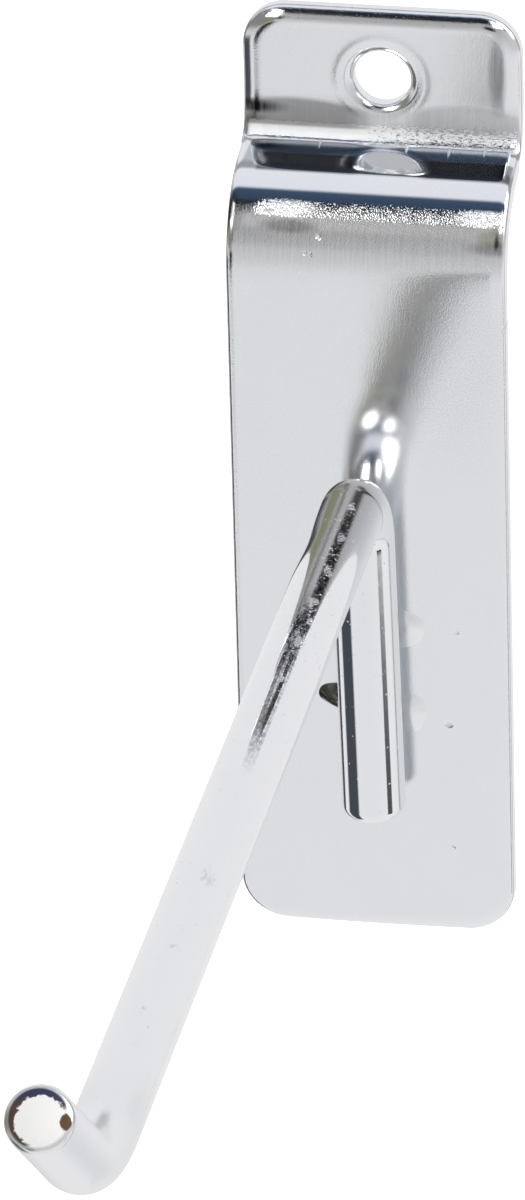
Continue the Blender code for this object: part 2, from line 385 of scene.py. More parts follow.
def edgeWalk(frontHeight, backHeight, roll):
    # section of a cut edge from the front skin to the back one, for each point of its outline: outward step
    # and height, an arc from the rolled face's slope to upright, a straight wall and a quarter round behind
    inset, back = sheet["frontInset"], sheet["backRound"]
    depth, reach, power = roll
    tilt = np.arctan(power * depth / reach * (1.0 - inset / reach) ** (power - 1.0))
    radius = inset / (1.0 - np.sin(tilt))
    arcSteps, wallSteps, backSteps = sheet["edgeSteps"]
    turn = tilt + (np.pi / 2 - tilt) * np.linspace(0.0, 1.0, arcSteps)[1:, None]
    wall = np.linspace(0.0, 1.0, wallSteps)[1:-1, None]
    backTurn = np.linspace(0.0, np.pi / 2, backSteps)[:-1, None]
    perPoint = np.ones_like(frontHeight)
    out = np.concatenate([
        radius * (np.sin(turn) - np.sin(tilt)) * perPoint,
        inset * perPoint * np.ones_like(wall),
        (inset - back + back * np.cos(backTurn)) * perPoint,
    ])
    top = frontHeight - radius * np.cos(tilt)
    bottom = backHeight + back
    high = np.concatenate([top + radius * np.cos(turn), top + (bottom - top) * wall,
                           bottom - back * np.sin(backTurn)])
    return out, high


def makeBackPlate():
    # two skins, the outer edge between them and the hole's wall
    flat, quads, outline, rim = flatSkin()
    front = sheetPoints(flat, faceHeight(flat, 1))
    back = sheetPoints(flat, faceHeight(flat, -1))
    points = [front, back]
    places = [np.column_stack([flat, np.full(len(flat), side)]) for side in (1.0, -1.0)]
    faces = [quads, quads[:, ::-1] + len(flat)]
    count = 2 * len(flat)
    for loop, sense in ((outline, 1.0), (rim, -1.0)):
        line = flat[loop]
        roll = rollAt(line) if sense > 0 else np.array(sheet["holeRoll"])[:, None]
        along = unit(np.roll(line, -1, axis=0) - line) + unit(line - np.roll(line, 1, axis=0))
        if sense < 0:
            outward = unit(np.array([0.0, holeAlong]) - line)
        else:
            outward = unit(np.stack([along[:, 1], -along[:, 0]], axis=-1))
        out, heights = edgeWalk(faceHeight(line, 1), faceHeight(line, -1), roll)
        walk = line[None] + out[..., None] * outward[None]
        points.append(sheetPoints(walk, heights).reshape(-1, 3))
        places.append(np.column_stack([walk.reshape(-1, 2), heights.ravel() / halfSheet]))
        rowNumbers = count + np.arange(walk.shape[0] * walk.shape[1]).reshape(walk.shape[:2])
        table = np.concatenate([loop[None], rowNumbers, loop[None] + len(flat)])
        band = bandQuads(table)
        faces.append(band[:, ::-1] if sense > 0 else band)
        count += rowNumbers.size
    return makePiece("folded_back_plate", np.concatenate(points), faces, np.concatenate(places), "sheetPlace")


backPlate = makeBackPlate()


# Hook wire: a round bar swept along a path of straight runs and two bends

wire = {
    "across": 6.0,
    "legShift": -0.2,
    "legLean": 1.13,
    "armYaw": 0.32,
    "tipRise": 41.3,
    "tipLength": 22.3,            # corner of arm and tip to the end
    "armBend": 5.0,               # centre line radius
    "tipBend": 18.0,
    "legEndRound": 1.2,
    "tipEndRound": 0.7,
    "seated": 0.25,               # welded down onto the plate, closer than the solid stands
    "pinch": (0.28, 8.5, 4.5),    # flattened beside the bend: depth, place after the arm's start, reach
    "tipDome": 0.22,              # the cut ends are a little domed
    "sides": 120,
    "spacing": 0.5,               # of sections along straight runs
    "endSections": (9, 17),       # round the edge of a cut end, and over its face
    "endMargin": 0.3,             # clear of its edge
}
rodLow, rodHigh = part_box("hook_rod")


def wireCorners():
    # leg end, corner of leg and arm, corner of arm and tip, tip end
    lean, yaw, rise = (math.radians(wire[key]) for key in ("legLean", "armYaw", "tipRise"))
    legWay = np.array([math.sin(lean), 0.0, -math.cos(lean)])
    armWay = np.array([-math.sin(yaw), -math.cos(yaw), 0.0])
    up = unit(-legWay + armWay * legWay.dot(armWay))
    tipWay = armWay * math.cos(rise) + up * math.sin(rise)
    radius = wire["across"] / 2
    corner = np.array([wire["legShift"], rodHigh.y / mm - radius, 0.0])
    legLength = (rodLow.z / mm + (radius - wire["legEndRound"]) * math.sin(lean)) / legWay[2]
    tipRound = wire["tipEndRound"]
    depth = ((radius - tipRound) * math.sin(rise) + tipRound * (1 - math.cos(rise))
             + wire["tipLength"] * math.cos(rise))
    armLength = (corner[1] - rodLow.y / mm - depth) / math.cos(yaw)
    second = corner + armWay * armLength
    corners = np.array([corner + legWay * legLength, corner, second, second + tipWay * wire["tipLength"]])
    return corners + np.array([0.0, wire["seated"], 0.0])


def wirePath():
    # places and directions along the centre line: straight runs joined by arcs that touch them
    corners = wireCorners()
    ways = unit(np.diff(corners, axis=0))
    places, headings = [], []
    start = corners[0]
    bends = zip(corners[1:3], ways[:-1], ways[1:], (wire["armBend"], wire["tipBend"]))
    for corner, before, after, radius in bends:
        sweep = math.acos(before.dot(after))
        reach = radius * math.tan(sweep / 2)
        inward = unit(after - before * before.dot(after))
        end = corner - before * reach
        count = int(np.linalg.norm(end - start) / wire["spacing"])
        share = np.linspace(0.0, 1.0, count, endpoint=False)[:, None]
        places.append(start + (end - start) * share)
        headings.append(np.repeat(before[None], count, axis=0))
        turn = np.linspace(0.0, sweep, 2 * int(sweep * radius / wire["spacing"]) + 16)[:, None]
        places.append(end + radius * (np.sin(turn) * before + (1 - np.cos(turn)) * inward))
        headings.append(np.cos(turn) * before + np.sin(turn) * inward)
        start = corner + after * reach
    count = int(np.linalg.norm(corners[3] - start) / wire["spacing"])
    share = np.linspace(0.0, 1.0, count + 1)[1:, None]
    places.append(start + (corners[3] - start) * share)
    headings.append(np.repeat(ways[2][None], count, axis=0))
    return np.concatenate(places), np.concatenate(headings)


def armStart(along, heading):
    # where the first bend ends and the arm runs straight
    arm = unit(heading[len(heading) // 2])
    return along[np.argmax(heading @ arm > 0.99999)]


def endSections(roundness):
    # radii and depths of the sections at a cut end: a quarter round, then a shallow dome down to its pole,
    # dome · (1 - (r / rim)²) high
    radius, dome = wire["across"] / 2, wire["tipDome"]
    edgeSections, faceSections = wire["endSections"]
    turn = np.linspace(0.0, np.pi / 2, edgeSections)
    rim = radius - roundness
    face = rim * np.linspace(1.0, 0.0, faceSections)[1:-1]
    radii = np.concatenate([radius - roundness * (1 - np.cos(turn)), face])
    depths = np.concatenate([roundness * (1 - np.sin(turn)), -dome * (1 - (face / rim) ** 2)])
    return radii, depths + dome


def makeWire():
    # a circle carried along the path, with a quarter round and a domed face at each end
    centre, heading = wirePath()
    along = np.concatenate([[0.0], np.cumsum(np.linalg.norm(np.diff(centre, axis=0), axis=1))])
    total = along[-1]
    radius = wire["across"] / 2
    side = unit(np.cross(heading[-1], heading[0]))
    angle = np.linspace(0.0, 2 * np.pi, wire["sides"], endpoint=False)
    legRadii, legDepths = endSections(wire["legEndRound"])
    tipRadii, tipDepths = endSections(wire["tipEndRound"])
    spare = wire["endMargin"]
    keep = (along > wire["legEndRound"] + spare) & (along < total - wire["tipEndRound"] - spare)
    sectionAlong = np.concatenate([legDepths[::-1], along[keep], total - tipDepths])
    sectionRadius = np.concatenate([legRadii[::-1], np.full(keep.sum(), radius), tipRadii])
    place = np.stack([np.interp(sectionAlong, along, centre[:, i]) for i in range(3)], axis=-1)
    way = unit(np.stack([np.interp(sectionAlong, along, heading[:, i]) for i in range(3)], axis=-1))
    up = np.cross(way, side)
    u = sectionRadius[:, None] * np.cos(angle)
    v = sectionRadius[:, None] * np.sin(angle)
    # the bending tool pressed the wire's left side in a little, just before the bend
    depth, middle, reach = wire["pinch"]
    squash = depth * hump(sectionAlong - armStart(along, heading), middle, reach)[:, None]
    wide = u - squash * smoothStep(u / radius, 0.0, 1.0)
    points = place[:, None, :] + wide[..., None] * side + v[..., None] * up[:, None, :]
    rows, columns = points.shape[:2]
    poles = np.stack([np.interp([0.0, total], along, centre[:, i]) for i in range(3)], axis=-1)
    first = np.arange(columns)
    last = (rows - 1) * columns + first
    pole = rows * columns
    caps = np.concatenate([
        np.stack([np.full(columns, pole), np.roll(first, -1), first], axis=-1),
        np.stack([np.full(columns, pole + 1), last, np.roll(last, -1)], axis=-1)])
    barPlaces = np.stack([u, v, np.repeat(sectionAlong[:, None], columns, axis=1)], axis=-1).reshape(-1, 3)
    barPlaces = np.concatenate([barPlaces, [[0.0, 0.0, 0.0], [0.0, 0.0, total]]])
    return makePiece("hook_wire", np.concatenate([points.reshape(-1, 3), poles]),
                     [gridQuads(rows, columns, closed=True), caps], barPlaces, "barPlace")


hookWire = makeWire()


# Weld beads: low mounds of squeezed metal in the corners between leg and plate

beads = {
    # drop under the arm, distance of the middle from the leg's axis, half width, half height, bulge
    "mounds": {
        "upper_weld_left": (14.6, 3.0, 2.4, 1.4, 1.9),
        "upper_weld_right": (15.7, 3.1, 2.0, 2.2, 0.20),
        "lower_weld_left": (23.2, 3.0, 2.5, 1.4, 2.1),
        "lower_weld_right": (24.6, 3.1, 2.0, 2.2, 0.20),
    },
    "power": 1.4,             # of the mound's falling-off
    "uneven": (0.06, 0.03),   # three slow waves and five quick ones round the outline
    "rings": 28,
    "sides": 72,
    "sunk": 0.25,             # closed off this far inside the plate
    "clear": 0.02,            # and its rim this far inside it
}


def makeBead(node, order):
    # bulge · (1 - r²) to the power over the plate, a little uneven round, closed by a flat base inside it
    drop, outward, halfWide, halfTall, bulge = beads["mounds"][node]
    slow, quick = beads["uneven"]
    sense = -1.0 if node.endswith("left") else 1.0
    corners = wireCorners()
    legWay = unit(corners[0] - corners[1])
    centre = corners[1] + legWay * drop
    turn = np.linspace(0.0, 2 * np.pi, beads["sides"], endpoint=False)
    uneven = 1.0 + slow * np.sin(3 * turn + order) + quick * np.sin(5 * turn + 2.0 * order)
    r = np.sin(np.linspace(0.0, np.pi / 2, beads["rings"] + 1))[1:, None]
    across = outward + halfWide * r * uneven * np.cos(turn)
    down = halfTall * r * uneven * np.sin(turn)
    height = np.repeat(bulge * np.clip(1.0 - r ** 2, 0.0, 1.0) ** beads["power"], len(turn), axis=1)
    front, sunk = plateLow.y / mm, plateLow.y / mm + beads["sunk"]
    points = np.stack([centre[0] + sense * across + legWay[0] * down, front - height + beads["clear"],
                       centre[2] + legWay[2] * down], axis=-1)
    base = points[-1].copy()
    base[:, 1] = sunk
    poleX = centre[0] + sense * outward
    poles = np.array([[poleX, front - bulge + beads["clear"], centre[2]], [poleX, sunk, centre[2]]])
    everything = np.concatenate([points.reshape(-1, 3), base, poles])
    table = np.arange((beads["rings"] + 1) * beads["sides"]).reshape(-1, beads["sides"])
    top = len(everything) - 2
    caps = np.concatenate([
        np.stack([np.full(len(turn), top), table[0], np.roll(table[0], -1)], axis=-1),
        np.stack([np.full(len(turn), top + 1), np.roll(table[-1], -1), table[-1]], axis=-1)])
    skin = bandQuads(table)[:, ::-1]
    if sense > 0:
        caps, skin = caps[:, ::-1], skin[:, ::-1]
    return makePiece(node.replace("weld", "bead"), everything, [skin, caps], everything, "beadPlace")


beadPieces = {node: makeBead(node, order) for order, node in enumerate(beads["mounds"], 1)}


# Shader node groups, shared by the materials

def newGroup(name, inputs, outputs):
    tree = bpy.data.node_groups.new(name, "ShaderNodeTree")
    for title in inputs:
        kind = "NodeSocketVector" if title in ("Place", "Middle", "Reach", "Stretch") else "NodeSocketFloat"
        tree.interface.new_socket(title, in_out="INPUT", socket_type=kind)
    for title in outputs:
        tree.interface.new_socket(title, in_out="OUTPUT", socket_type="NodeSocketFloat")
    return tree, addNode(tree, "NodeGroupInput").outputs, addNode(tree, "NodeGroupOutput").inputs


def useGroup(group, **settings):
    node = addNode(treeOf(*settings.values()), "ShaderNodeGroup", node_tree=group)
    for title, value in settings.items():
        feed(node.inputs[title], value)
    return node.outputs[0]


def vectorOf(operation, *values):
    node = addNode(treeOf(*values), "ShaderNodeVectorMath", operation=operation)
    for socket, value in zip(node.inputs, values):
        feed(socket, value)
    return node.outputs["Value" if operation == "LENGTH" else "Vector"]


def stretchedNoiseGroup():
    # noise on places stretched by a factor each way: brushed lines, ripples and stains
    tree, given, made = newGroup("stretched noise", ("Place", "Stretch", "Detail"), ("Value",))
    noise = addNode(tree, "ShaderNodeTexNoise", noise_dimensions="3D")
    feed(noise.inputs["Vector"], vectorOf("MULTIPLY", given["Place"], given["Stretch"]))
    noise.inputs["Scale"].default_value = 1.0
    feed(noise.inputs["Detail"], given["Detail"])
    feed(made["Value"], noise.outputs["Fac"])
    return tree


def hammeredGrainGroup():
    # round facets of about one size with softer ones over them, as on stretched or etched plating
    tree, given, made = newGroup("hammered grain", ("Place", "Size"), ("Value",))
    facetShare, softDetail = 0.6, 2.0
    scale = mathOf("DIVIDE", 1.0, given["Size"])
    facets = addNode(tree, "ShaderNodeTexVoronoi")
    noise = addNode(tree, "ShaderNodeTexNoise")
    noise.inputs["Detail"].default_value = softDetail
    for node in (facets, noise):
        feed(node.inputs["Vector"], given["Place"])
        feed(node.inputs["Scale"], scale)
    sharp = productOf(facets.outputs["Distance"], facetShare)
    feed(made["Value"], sumOf(sharp, noise.outputs["Fac"]))
    return tree


def sparseSpecksGroup():
    # cells of a given spacing, of which a share hold one round speck of about the size
    tree, given, made = newGroup("sparse specks", ("Place", "Spacing", "Share", "Size"), ("Mask",))
    smallest, rim, rimEase = 0.35, 0.75, 0.25
    cells = addNode(tree, "ShaderNodeTexVoronoi")
    feed(cells.inputs["Vector"], given["Place"])
    feed(cells.inputs["Scale"], mathOf("DIVIDE", 1.0, given["Spacing"]))
    chance = addNode(tree, "ShaderNodeSeparateColor")
    feed(chance.inputs[0], cells.outputs["Color"])
    chosen = mathOf("LESS_THAN", chance.outputs[0], given["Share"])
    away = mathOf("DIVIDE", productOf(cells.outputs["Distance"], given["Spacing"]),
                  productOf(given["Size"], sumOf(chance.outputs[1], smallest)))
    feed(made["Mask"], productOf(chosen, fallingEdge(away, rim, rimEase)))
    return tree


def softBandGroup():
    # 1 between low and high and 0 outside them, each edge smooth over the ease both ways
    tree, given, made = newGroup("soft band", ("Value", "Low", "High", "Ease"), ("Mask",))
    edges = []
    for first, second in ((given["Value"], given["Low"]), (given["High"], given["Value"])):
        inside = mathOf("DIVIDE", mathOf("SUBTRACT", first, second), given["Ease"])
        edges.append(risingEdge(inside, 0.0, 1.0))
    feed(made["Mask"], productOf(*edges))
    return tree


def markGroup():
    # 1 over the inner part of a mark, falling smoothly to 0 at its reach each way
    tree, given, made = newGroup("mark", ("Place", "Middle", "Reach"), ("Mask",))
    half, ease = 0.65, 0.35
    offset = vectorOf("DIVIDE", vectorOf("SUBTRACT", given["Place"], given["Middle"]), given["Reach"])
    feed(made["Mask"], fallingEdge(vectorOf("LENGTH", offset), half, ease))
    return tree


stretchedNoise = stretchedNoiseGroup()
hammeredGrain = hammeredGrainGroup()
sparseSpecks = sparseSpecksGroup()
softBand = softBandGroup()
mark = markGroup()


def noiseOf(place, given):
    stretch, detail = given
    return useGroup(stretchedNoise, Place=place, Stretch=stretch, Detail=detail)


def grainOf(place, size):
    return useGroup(hammeredGrain, Place=place, Size=size)


def specksOf(place, given):
    spacing, share, size = given
    return useGroup(sparseSpecks, Place=place, Spacing=spacing, Share=share, Size=size)


def bandOf(value, low, high, ease):
    return useGroup(softBand, Value=value, Low=low, High=high, Ease=ease)


def marksOf(place, marks):
    # the strongest of several marks, each a middle and a reach
    masks = [useGroup(mark, Place=place, Middle=middle, Reach=reach) for middle, reach in marks]
    total = masks[0]
    for mask in masks[1:]:
        total = mathOf("MAXIMUM", total, mask)
    return total


def layColours(colour, masks, layers):
    # each layer's tone in turn where its mask is, as strong as its share
    for name, (share, tone) in layers.items():
        colour = mixColours(productOf(masks[name], share), colour, tone)
    return colour


def weighted(masks, amounts):
    # sum of the named masks, each times its amount
    return sumOf(*(productOf(masks[name], amount) for name, amount in amounts.items()))


def stainedTone(stains, tone, share):
    # down to a share of the tone where the stains are dark
    return mixColours(stains, tuple(share * part for part in tone), tone)


def startMetal(name, placeName):
    # a metal material with its place attribute split in three
    material = bpy.data.materials.new(name)
    material.use_nodes = True
    tree = material.node_tree
    shader = tree.nodes["Principled BSDF"]
    shader.inputs["Metallic"].default_value = 1.0
    place = addNode(tree, "ShaderNodeAttribute", attribute_name=placeName).outputs["Vector"]
    parts = addNode(tree, "ShaderNodeSeparateXYZ")
    feed(parts.inputs[0], place)
    return material, shader, place, parts.outputs


def finishMetal(shader, colour, roughness, height):
    # height is in millimetres
    bump = addNode(shader.id_data, "ShaderNodeBump")
    bump.inputs["Strength"].default_value = 1.0
    bump.inputs["Distance"].default_value = mm
    feed(bump.inputs["Height"], height)
    feed(shader.inputs["Base Color"], colour)
    feed(shader.inputs["Roughness"], roughness)
    feed(shader.inputs["Normal"], bump.outputs["Normal"])


# Plated sheet: mirror plating, brushed lines near the folds, stretched grain on them and a rubbed strip, with
# painted highlights and painted shade in its colour

# a band is its start, end and soft edge; a mark is its place across and along and its reach across and along
sheetFinish = {
    "tone": (0.905, 0.912, 0.925),
    "stainedShare": 0.965,        # of the tone, in the faint stains
    "frontFrom": (0.8, 0.1),      # of the way from the back to the front
    "smooth": 0.13,               # roughness of the clean plating on the flat panel and flange
    "foldSmooth": 0.055,          # and on the folds, where it was stretched bright
    "brightFold": (74.0, 83.0, 1.5),
    "brightTop": (-1.6, 0.5),     # the same at the top edge: place over it and ease
    # noises: stretch each way and detail
    "stains": ((0.16, 0.10, 0.0), 3.0),
    "brush": ((4.2, 0.16, 1.0), 3.0),
    "ripple": ((0.5, 0.35, 0.0), 1.0),
    "ragged": ((2.2, 5.0, 0.0), 4.0),
    "frayed": ((4.0, 6.0, 0.0), 3.0),
    "patchy": ((0.5, 1.6, 0.0), 2.0),
    "pepper": ((6.0, 6.0, 0.0), 1.0),
    "scratchy": ((5.0, 5.0, 0.0), 2.0),
    "brushDepth": 0.0011,
    "brushOnFolds": 0.0014,       # more of it beside the folds
    "besideFolds": ((69.5, 73.0, 1.2), (84.3, 86.8, 0.8)),
    "streakEdge": (0.50, 0.12),
    # strip rubbed by the folding tool under the flange, its right half broken up; its white colour is a painted
    # highlight
    "rubbed": (82.53, 84.43, 0.09),
    "rubbedEnds": (-12.5, 12.6, 0.12),
    "rubbedRough": 0.52,
    "rubbedGrain": 0.32,
    "rubbedDepths": (0.012, 0.06),     # all along it, and more to the right
    "toRight": (0.5, 5.0),
    "ragging": (0.5, 2.4),             # wandering of its edges: at the left, and more to the right
    "gaps": (0.15, 0.675, 0.02),       # more of them to the right, their edge and its ease
    "crease": (82.13, 82.31, 0.05),    # painted shade: dark line along its lower side
    "ticks": ((-5.6, 81.5, 0.16, 1.2), (2.6, 81.3, 0.20, 0.9), (6.6, 81.2, 0.20, 1.2), (9.9, 81.4, 0.16, 1.0)),
    # stretched grain outside the lower fold, with glowing patches painted white as highlights
    "grain": (73.38, 74.62, 0.3),
    "grainAcross": (-10.0, 12.6, 1.2),
    "grainSize": 0.15,
    "grainDepth": 0.042,
    "grainShares": (0.9, 0.75),        # in the glowing patches, and anywhere along it
    "fineGrain": 0.004,                # the same grain, faint, all over the flat of the sheet
    "noFineGrain": (74.5, 82.0, 0.8),
    # painted shade: dark specks over the grain
    "pepperEdge": (0.51, 0.17),
    "unpeppered": -0.85,               # the painted highlight patches stay clear of the painted shade specks
    "glows": ((-7.5, 73.95, 3.6, 1.2), (10.9, 73.95, 3.4, 1.2)),
    "glowFraying": (2.6, -1.3),
    "glowEdge": (0.50, 0.40),
    "shelfShade": (77.35, 79.75, 0.2),    # painted shade on the shelf, across most of it and leaving its middle bright
    "shelfShadeAcross": (-11.0, 12.9, 0.2),
    "shelfShadeLeaves": (-1.6, 4.6, 0.8),
    # painted shade under the flange, below an arch: middle, half width, top, share of light lost
    "archShade": ((-8.3, 6.6, 87.0, 0.52), (7.8, 5.0, 87.1, 0.22)),
    "archShadeFrom": (84.0, 0.2),
    "archShadeEases": (0.35, 0.25),      # at its arched top and at its sides
    "olive": ((12.2, 72.4, 2.4, 1.0), (-12.4, 84.7, 2.4, 0.55)),
    # painted shade: dark over the left end of the lower fold and the left edge near the flange
    "dark": ((-13.1, 85.9, 5.2, 1.0), (-12.95, 73.6, 1.0, 2.2)),
    # painted shade beside and below the lower fold's glowing patches and in a band on the flange's right
    "shaded": ((12.9, 71.5, 4.4, 0.8), (-7.2, 72.5, 3.6, 0.8), (-13.0, 73.0, 1.9, 1.6),
               (10.9, 90.4, 1.1, 5.2)),
    "shadedShare": 0.5,
    "streaky": (1.1, 0.35),            # how far the brushed lines break up both
    "speckled": ((7.2, 61.0, 9.0, 15.0),),   # fine grain near the lower fold
    "nicks": ((-4.4, 71.7, 0.35, 0.3), (-5.6, 70.3, 0.3, 0.25), (-5.1, 70.2, 0.25, 0.3),
              (8.1, 32.0, 0.28, 0.2), (7.2, 22.2, 0.5, 0.45), (7.4, 9.0, 0.28, 0.2), (13.0, 63.8, 0.3, 0.45)),
    "specks": (1.9, 0.10, 0.10),       # spacing, share of the cells that hold one, size
    # colour layers from the plating up: share and tone; the white of the rubbed strip and the glows is painted
    # highlight, and the dark of the grain's specks, the crease, the shelf, the arches under the flange and the
    # dark and shaded marks is painted shade
    "layers": {
        "rubbed": (0.9, (1.0, 1.0, 1.0)),
        "glows": (0.8, (1.0, 1.0, 1.0)),
        "peppered": (0.80, (0.05, 0.05, 0.06)),
        "crease": (0.8, (0.08, 0.09, 0.10)),
        "streaks": (0.07, (0.25, 0.25, 0.25)),
        "shelfShade": (0.65, (0.10, 0.10, 0.10)),
        "olive": (0.55, (0.46, 0.47, 0.30)),
        "archShade": (1.0, (0.02, 0.02, 0.02)),
        "dark": (1.0, (0.04, 0.04, 0.04)),
        "specks": (0.35, (0.40, 0.40, 0.40)),
        "speckled": (0.13, (0.25, 0.26, 0.27)),
    },
    "roughnessOf": {"grain": 0.08, "nicks": 0.3, "stains": 0.02},
    "depths": {"ripple": 0.0035, "nicks": -0.12, "specks": -0.02},
}


def onSheet(x, s, across, along):
    # a mark's middle and reach in the sheet's own places, whose third part is 1 on the front
    return (x, s, 1.0), (across, along, 9.0)


def archShadeZone(x, s, front):
    # painted shade under an arch over each middle: top - ((x - middle) / half)²
    arched, aside = sheetFinish["archShadeEases"]
    start = risingEdge(s, *sheetFinish["archShadeFrom"])
    zone = 0.0
    for middle, half, top, loss in sheetFinish["archShade"]:
        off = mathOf("DIVIDE", sumOf(x, -middle), half)
        arch = mathOf("SUBTRACT", top, productOf(off, off))
        under = fallingEdge(mathOf("SUBTRACT", s, arch), 0.0, arched)
        inside = fallingEdge(mathOf("ABSOLUTE", off), 1.0, aside)
        zone = mathOf("MAXIMUM", productOf(under, inside, start, loss), zone)
    return productOf(zone, front)


def makePlatedSheet():
    material, shader, place, (x, s, side) = startMetal("plated sheet", "sheetPlace")
    finish = sheetFinish
    front = risingEdge(side, *finish["frontFrom"])
    names = ("stains", "brush", "ripple", "ragged", "frayed", "patchy", "pepper", "scratchy")
    stains, brush, ripple, ragged, frayed, patchy, pepper, scratchy = (
        noiseOf(place, finish[name]) for name in names)
    names = ("ticks", "glows", "olive", "dark", "shaded", "speckled", "nicks")
    ticks, glows, olive, dark, shaded, speckled, nicks = (
        marksOf(place, [onSheet(*given) for given in finish[name]]) for name in names)

    # the rubbed strip, white as a painted highlight, and the crease along it, dark as painted shade, with edges
    # that wander more to the right
    toRight = risingEdge(x, *finish["toRight"])
    wander, more = finish["ragging"]
    ragging = sumOf(wander, productOf(toRight, more))
    shifted = sumOf(s, productOf(sumOf(ragged, -0.5), ragging))
    ends = bandOf(x, *finish["rubbedEnds"])
    more, gapEdge, gapEase = finish["gaps"]
    whole = fallingEdge(sumOf(ragged, productOf(toRight, more)), gapEdge, gapEase)
    rubbed = productOf(bandOf(shifted, *finish["rubbed"]), ends, front, whole)
    crease = productOf(bandOf(shifted, *finish["crease"]), ends, front)

    # grain over the lower fold, strongest in the glowing patches, whose white colour is a painted highlight
    glows = sumOf(glows, mathOf("MULTIPLY_ADD", frayed, *finish["glowFraying"]))
    glows = risingEdge(glows, *finish["glowEdge"])
    grainZone = productOf(bandOf(s, *finish["grain"]), bandOf(x, *finish["grainAcross"]), front)
    glowShare, patchShare = finish["grainShares"]
    grainAmount = productOf(grainZone, sumOf(productOf(glows, glowShare), productOf(patchy, patchShare)))
    grain = grainOf(place, finish["grainSize"])
    pepper = fallingEdge(pepper, *finish["pepperEdge"])

    streaky = mathOf("MULTIPLY_ADD", brush, *finish["streaky"])
    folds = sumOf(*(bandOf(s, *band) for band in finish["besideFolds"]))
    # painted shade on the shelf
    shelfShade = productOf(bandOf(s, *finish["shelfShade"]), bandOf(x, *finish["shelfShadeAcross"]), front,
                        restOf(bandOf(x, *finish["shelfShadeLeaves"])))
    nicks = productOf(nicks, scratchy)
    specks = specksOf(place, finish["specks"])
    # among these masks, painted highlight: the rubbed strip and the glows; painted shade: the grain's dark
    # specks, the crease, the shelf, the arches and the dark marks
    masks = {
        "rubbed": rubbed,
        "glows": glows,
        "peppered": productOf(grainZone, pepper, mathOf("MULTIPLY_ADD", glows, finish["unpeppered"], 1.0)),
        "crease": crease,
        "streaks": productOf(folds, risingEdge(brush, *finish["streakEdge"]), front),
        "shelfShade": shelfShade,
        "olive": productOf(olive, front),
        "archShade": archShadeZone(x, s, front),
        "dark": productOf(mathOf("MAXIMUM", dark, productOf(shaded, finish["shadedShare"])),
                          front, streaky),
        "specks": specks,
        "speckled": productOf(speckled, front, pepper),
    }
    colour = stainedTone(stains, finish["tone"], finish["stainedShare"])
    colour = layColours(colour, masks, finish["layers"])

    topPlace, topEase = finish["brightTop"]
    bright = mathOf("MAXIMUM", bandOf(s, *finish["brightFold"]),
                    risingEdge(s, stripLength + topPlace, topEase))
    worn = mathOf("MAXIMUM", rubbed, productOf(ticks, front))
    rough = {"grain": grainAmount, "nicks": nicks, "stains": stains}
    roughness = sumOf(finish["smooth"], productOf(bright, finish["foldSmooth"] - finish["smooth"]),
                      productOf(worn, finish["rubbedRough"] - finish["foldSmooth"]),
                      weighted(rough, finish["roughnessOf"]))
    brushDepth = mathOf("MULTIPLY_ADD", folds, finish["brushOnFolds"], finish["brushDepth"])
    offFold = restOf(bandOf(s, *finish["noFineGrain"]))
    grainDepth = sumOf(productOf(grainAmount, finish["grainDepth"]), productOf(offFold, finish["fineGrain"]))
    allAlong, more = finish["rubbedDepths"]
    rubbedDepth = productOf(rubbed, mathOf("MULTIPLY_ADD", toRight, more, allAlong))
    raised = {"ripple": ripple, "nicks": nicks, "specks": specks}
    height = sumOf(productOf(brush, brushDepth), productOf(grain, grainDepth),
                   productOf(grainOf(place, finish["rubbedGrain"]), rubbedDepth),
                   weighted(raised, finish["depths"]))
    finishMetal(shader, colour, roughness, height)
    return material
